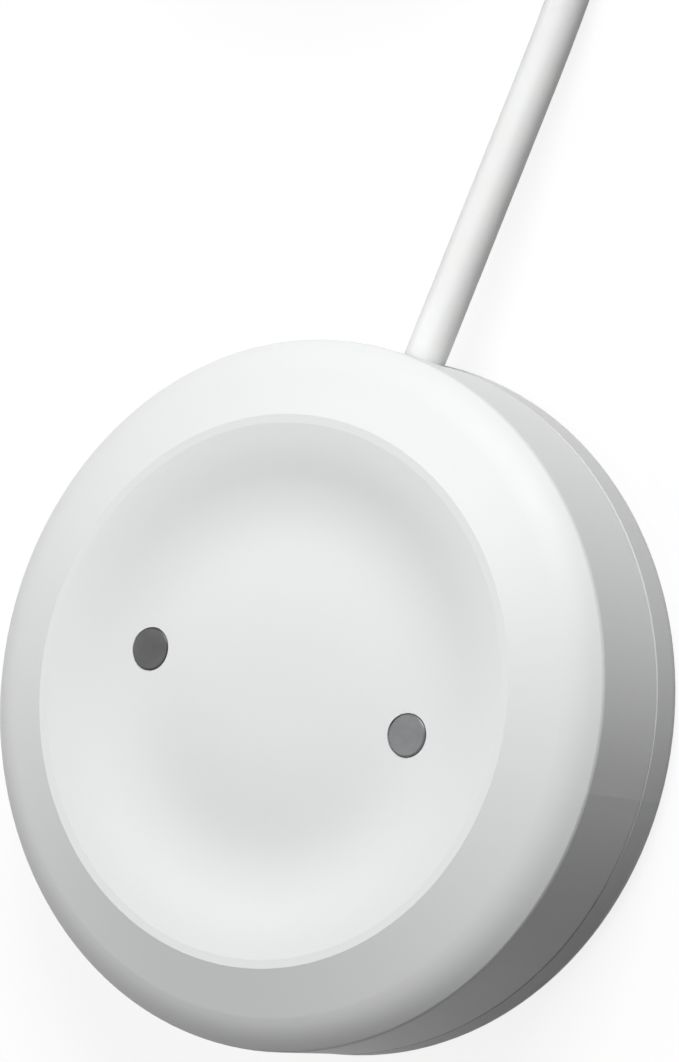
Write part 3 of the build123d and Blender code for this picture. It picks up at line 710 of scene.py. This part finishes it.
# The grip swells over its first fifth by a power of a quarter turn's sine. Five grooves share the rest
# evenly, and a quarter circle rounds each end.
grip_length = 0.017
grip_neck_radius = 0.0033
grip_swell = 0.0009
band_depth, band_width = 0.00028, 0.0012
rounding = 0.0006
grip_steps = np.linspace(0, grip_length, 241)
swell = np.clip(grip_steps / (grip_length / 5), 0, 1)
grip_radius = grip_neck_radius + grip_swell * np.sin(swell * math.pi / 2) ** 1.5
for band in range(5):
    centre = grip_length / 5 + (band + 1) * (grip_length * 4 / 5) / 6
    grip_radius -= band_depth * soft_groove(grip_steps, centre, band_width)
to_end = np.minimum(grip_steps, grip_length - grip_steps)
inset = np.clip(1 - to_end / rounding, 0, 1)
grip_radius -= rounding * (1 - np.sqrt(1 - inset**2))
grip_profile = list(zip(relief_length + grip_steps, grip_radius))
grip = lathe("grip", grip_profile, plug_moulding, "plug_grip")

# Plug contacts. Turned brass, nickel plated and polished: the sleeve with its collar, and the tip with
# its waist, which the socket's spring falls into.
plug_nickel = drawn_metal("plug nickel", (0.48, 0.47, 0.445), (0.66, 0.65, 0.62), 0.18, 5000.0)
dress(plug_nickel, "plug_sleeve")
tip_start = 0.0380
tip_profile = [
    (0.0, 0.00165),
    (0.00008, 0.00175),
    (0.0003, 0.00172),
    (0.0007, 0.00138),
    (0.00105, 0.00118),
    (0.0013, 0.0012),
    (0.0016, 0.00148),
    (0.00187, 0.00165),
    (0.0021, 0.00158),
    (0.0026, 0.00118),
    (0.0030, 0.00082),
    (0.00325, 0.00058),
    (0.00337, 0.0003),
]
tip_profile = [(tip_start + distance, radius) for distance, radius in tip_profile]
tip = lathe("tip", tip_profile, plug_nickel, "plug_tip")

# Camera, where the photographer stood: half a metre away, above the right of the puck and rolled so
# that the cord leaves at the top of the picture.
camera = bpy.data.objects.new("camera", bpy.data.cameras.new("camera"))
camera.location = (0.268516, 0.038263, 0.431392)
camera.rotation_euler = [math.radians(angle) for angle in (7.06836, 32.03334, 18.77391)]
camera.data.sensor_width = 36.0
camera.data.lens = 242.494
camera.data.clip_start = 0.01
camera.data.clip_end = 20.0
bpy.context.collection.objects.link(camera)
bpy.context.scene.camera = camera

# Light: a large softbox beyond the cord does most of the work. A weak one at the side and one high up
# behind the puck lift its shadows. The room is dark, but the camera sees it white.


def softbox(name, azimuth, elevation, power):
    """A square lamp that faces the puck, at azimuth degrees from +X towards +Y."""
    distance, width = 0.9, 0.45
    lamp = bpy.data.lights.new(name, "AREA")
    lamp.size = width
    lamp.energy = power
    box = bpy.data.objects.new(name, lamp)
    turn, rise = math.radians(azimuth), math.radians(elevation)
    box.location = (
        distance * math.cos(turn) * math.cos(rise),
        distance * math.sin(turn) * math.cos(rise),
        distance * math.sin(rise),
    )
    box.rotation_euler = box.location.to_track_quat("Z", "Y").to_euler()
    bpy.context.collection.objects.link(box)


softbox("key softbox", 78.0, 42.0, 7.2)
softbox("side softbox", 180.0, 42.0, 1.5)
softbox("high softbox", 240.0, 66.0, 1.35)


def seen_directly(tree):
    """1 where a ray comes from the camera, or by way of a mirror or glass."""
    path = tree.nodes.new("ShaderNodeLightPath").outputs
    camera_ray = Signal(tree, path["Is Camera Ray"])
    glossy = Signal(tree, path["Is Glossy Ray"])
    through = Signal(tree, path["Is Transmission Ray"])
    return camera_ray.maths("MAXIMUM", camera_ray.maths("MAXIMUM", camera_ray, glossy), through)


world = bpy.data.worlds.new("studio")
bpy.context.scene.world = world
world.use_nodes = True
air = world.node_tree
shown = seen_directly(air)
room = air.nodes["Background"]
room.inputs["Color"].default_value = (1, 1, 1, 1)
air.links.new(shown.socket, room.inputs["Strength"])

# Floor: a pale sheet that runs on past the picture. It glows white to the camera and keeps the puck's
# shadow. It lies a hair lower than the flat back, so that the two faces never share one plane.
made, place, surface = material("floor")
tree = place.tree
sheet = place.node("ShaderNodeBsdfDiffuse", None, {"Color": (0.17, 0.17, 0.17, 1)})
glow = place.node("ShaderNodeEmission", None, {"Strength": 0.86})
pale = place.node("ShaderNodeAddShader", None, {0: sheet, 1: glow})
grey = place.node("ShaderNodeBsdfDiffuse", None, {"Color": (0.25, 0.25, 0.25, 1)})
floor_mix = place.node("ShaderNodeMixShader", None, {0: seen_directly(tree), 1: grey, 2: pale})
tree.links.new(floor_mix.socket, tree.nodes["Material Output"].inputs["Surface"])
floor_mesh = bpy.data.meshes.new("floor")
half, level = 4.0, -0.00003
floor_corners = [(-half, -half, level), (half, -half, level), (half, half, level), (-half, half, level)]
floor_mesh.from_pydata(floor_corners, [], [(0, 1, 2, 3)])
floor_mesh.materials.append(made)
floor = bpy.data.objects.new("floor", floor_mesh)
bpy.context.collection.objects.link(floor)

bpy.context.scene.view_settings.view_transform = "Standard"
